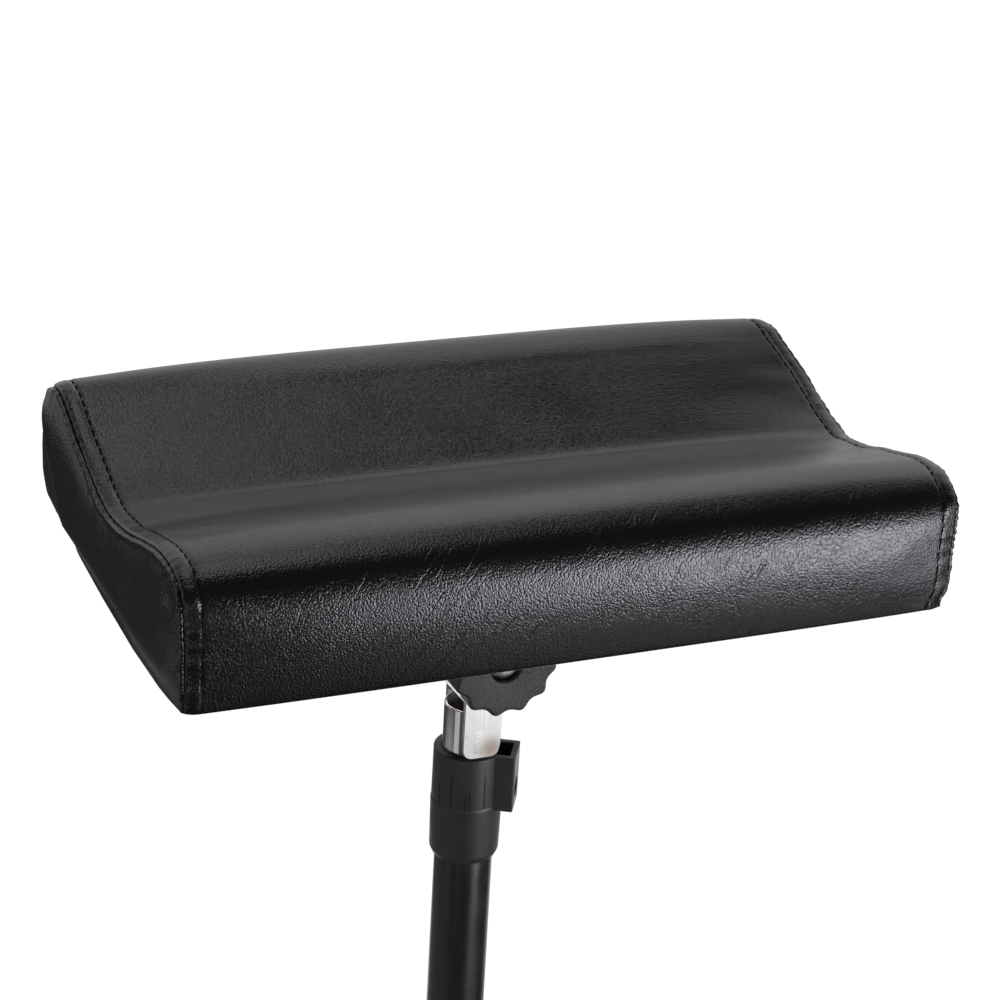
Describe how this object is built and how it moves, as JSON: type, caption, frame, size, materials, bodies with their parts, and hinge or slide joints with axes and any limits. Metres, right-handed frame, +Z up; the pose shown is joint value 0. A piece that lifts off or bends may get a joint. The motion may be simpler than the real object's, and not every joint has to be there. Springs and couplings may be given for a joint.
{
  "type": "adjustable armrest stand",
  "caption": "Padded armrest with an arm trough between two ridges, on a tilting head, a telescopic column and a folding tripod.",
  "frame": {"origin": "on the floor, under the column's axis", "axes": "+Z up along the column, +X along the pad, -Y towards the side with the tilt knob"},
  "size_m": [0.5648, 0.4923, 0.6425],
  "materials": {
    "cover": "grained black leatherette, stitched",
    "board": "plain plywood",
    "bottom_cloth": "non-woven dust cloth",
    "chrome": "chrome plate",
    "zinc": "bright zinc plate",
    "black_plastic": "moulded, fine texture",
    "black_paint": "satin black powder coat",
    "rubber": "matt rubber"
  },
  "bodies": {
    "column": {"outer_tube": "black_paint", "top_collar": "black_plastic", "collar_nut": "zinc", "collar_screw": "zinc", "column_plug": "black_plastic", "lower_hub": "black_plastic", "hub_screw": "zinc", "hub_rivet_1": "zinc", "hub_rivet_2": "zinc", "hub_rivet_3": "zinc"},
    "mast_foot": {"mast_guide": "black_plastic"},
    "mast": {"mast_tube": "chrome", "front_lug": "chrome", "back_lug": "chrome", "clamp_weld_nut": "zinc", "pivot_nut": "zinc", "pivot_bolt": "zinc", "knob_washer": "zinc"},
    "pad": {"pad_cushion": "cover", "pad_board": "board", "pad_bottom_cloth": "bottom_cloth", "tilt_bracket": "chrome", "bracket_screw_1": "zinc", "bracket_screw_2": "zinc", "bracket_screw_3": "zinc", "bracket_screw_4": "zinc"},
    "tilt_clamp": {"tilt_knob": "black_plastic", "clamp_bolt": "zinc"},
    "height_screw": {"height_set_screw": "zinc"},
    "sliding_collar": {"leg_collar": "black_plastic", "leg_lock_nut": "zinc", "leg_rivet_head_1": "zinc", "leg_rivet_head_2": "zinc", "leg_rivet_head_3": "zinc", "leg_rivet_tail_1": "zinc", "leg_rivet_tail_2": "zinc", "leg_rivet_tail_3": "zinc"},
    "leg_lock": {"leg_lock_knob": "black_plastic", "leg_lock_stud": "zinc"},
    "brace_arm_1": {"brace_1": "black_paint", "brace_rivet_1": "zinc"},
    "leg_1": {"leg_tube_1": "black_paint", "leg_cap_1": "black_plastic", "foot_1": "rubber"},
    "brace_arm_2": {"brace_2": "black_paint", "brace_rivet_2": "zinc"},
    "leg_2": {"leg_tube_2": "black_paint", "leg_cap_2": "black_plastic", "foot_2": "rubber"},
    "brace_arm_3": {"brace_3": "black_paint", "brace_rivet_3": "zinc"},
    "leg_3": {"leg_tube_3": "black_paint", "leg_cap_3": "black_plastic", "foot_3": "rubber"}
  },
  "joints": [
    {"name": "height_slide", "type": "slide", "parent": "column", "child": "mast_foot", "axis": [0, 0, 1], "range_m": [0, 0.32]},
    {"name": "head_swivel", "type": "hinge", "parent": "mast_foot", "child": "mast", "pos_m": [0, 0, 0.047], "axis": [0, 0, 1], "continuous": true},
    {"name": "pad_tilt", "type": "hinge", "parent": "mast", "child": "pad", "pos_m": [0, 0, 0.504], "axis": [0, 1, 0], "range_deg": [-30, 30]},
    {"name": "tilt_knob_turn", "type": "hinge", "parent": "mast", "child": "tilt_clamp", "pos_m": [0, -0.03, 0.524], "axis": [0, -1, 0], "continuous": true},
    {"name": "height_screw_turn", "type": "hinge", "parent": "column", "child": "height_screw", "pos_m": [0, 0, 0.4444], "axis": [0.866, -0.5, 0], "continuous": true},
    {"name": "collar_slide", "type": "slide", "parent": "column", "child": "sliding_collar", "axis": [0, 0, 1], "range_m": [0, 0.1177]},
    {"name": "leg_lock_turn", "type": "hinge", "parent": "sliding_collar", "child": "leg_lock", "pos_m": [0, 0, 0.2494], "axis": [0.866, -0.5, 0], "continuous": true},
    {"name": "brace_fold_1", "type": "hinge", "parent": "column", "child": "brace_arm_1", "pos_m": [0.02338, 0.0135, 0.036], "axis": [-0.5, 0.866, 0], "range_deg": [-46, 0]},
    {"name": "leg_fold_1", "type": "hinge", "parent": "brace_arm_1", "child": "leg_1", "pos_m": [0.13351, 0.07708, 0.1427], "axis": [-0.5, 0.866, 0], "range_deg": [0, 92]},
    {"name": "brace_fold_2", "type": "hinge", "parent": "column", "child": "brace_arm_2", "pos_m": [-0.02338, 0.0135, 0.036], "axis": [-0.5, -0.866, 0], "range_deg": [-46, 0]},
    {"name": "leg_fold_2", "type": "hinge", "parent": "brace_arm_2", "child": "leg_2", "pos_m": [-0.13351, 0.07708, 0.1427], "axis": [-0.5, -0.866, 0], "range_deg": [0, 92]},
    {"name": "brace_fold_3", "type": "hinge", "parent": "column", "child": "brace_arm_3", "pos_m": [0, -0.027, 0.036], "axis": [1, 0, 0], "range_deg": [-46, 0]},
    {"name": "leg_fold_3", "type": "hinge", "parent": "brace_arm_3", "child": "leg_3", "pos_m": [0, -0.15416, 0.1427], "axis": [1, 0, 0], "range_deg": [0, 92]}
  ],
  "couplings": [
    {"joint": "brace_fold_1", "follows": "collar_slide", "rad_per_m": -6.8162},
    {"joint": "leg_fold_1", "follows": "collar_slide", "rad_per_m": 13.632},
    {"joint": "brace_fold_2", "follows": "collar_slide", "rad_per_m": -6.8162},
    {"joint": "leg_fold_2", "follows": "collar_slide", "rad_per_m": 13.632},
    {"joint": "brace_fold_3", "follows": "collar_slide", "rad_per_m": -6.8162},
    {"joint": "leg_fold_3", "follows": "collar_slide", "rad_per_m": 13.632}
  ]
}
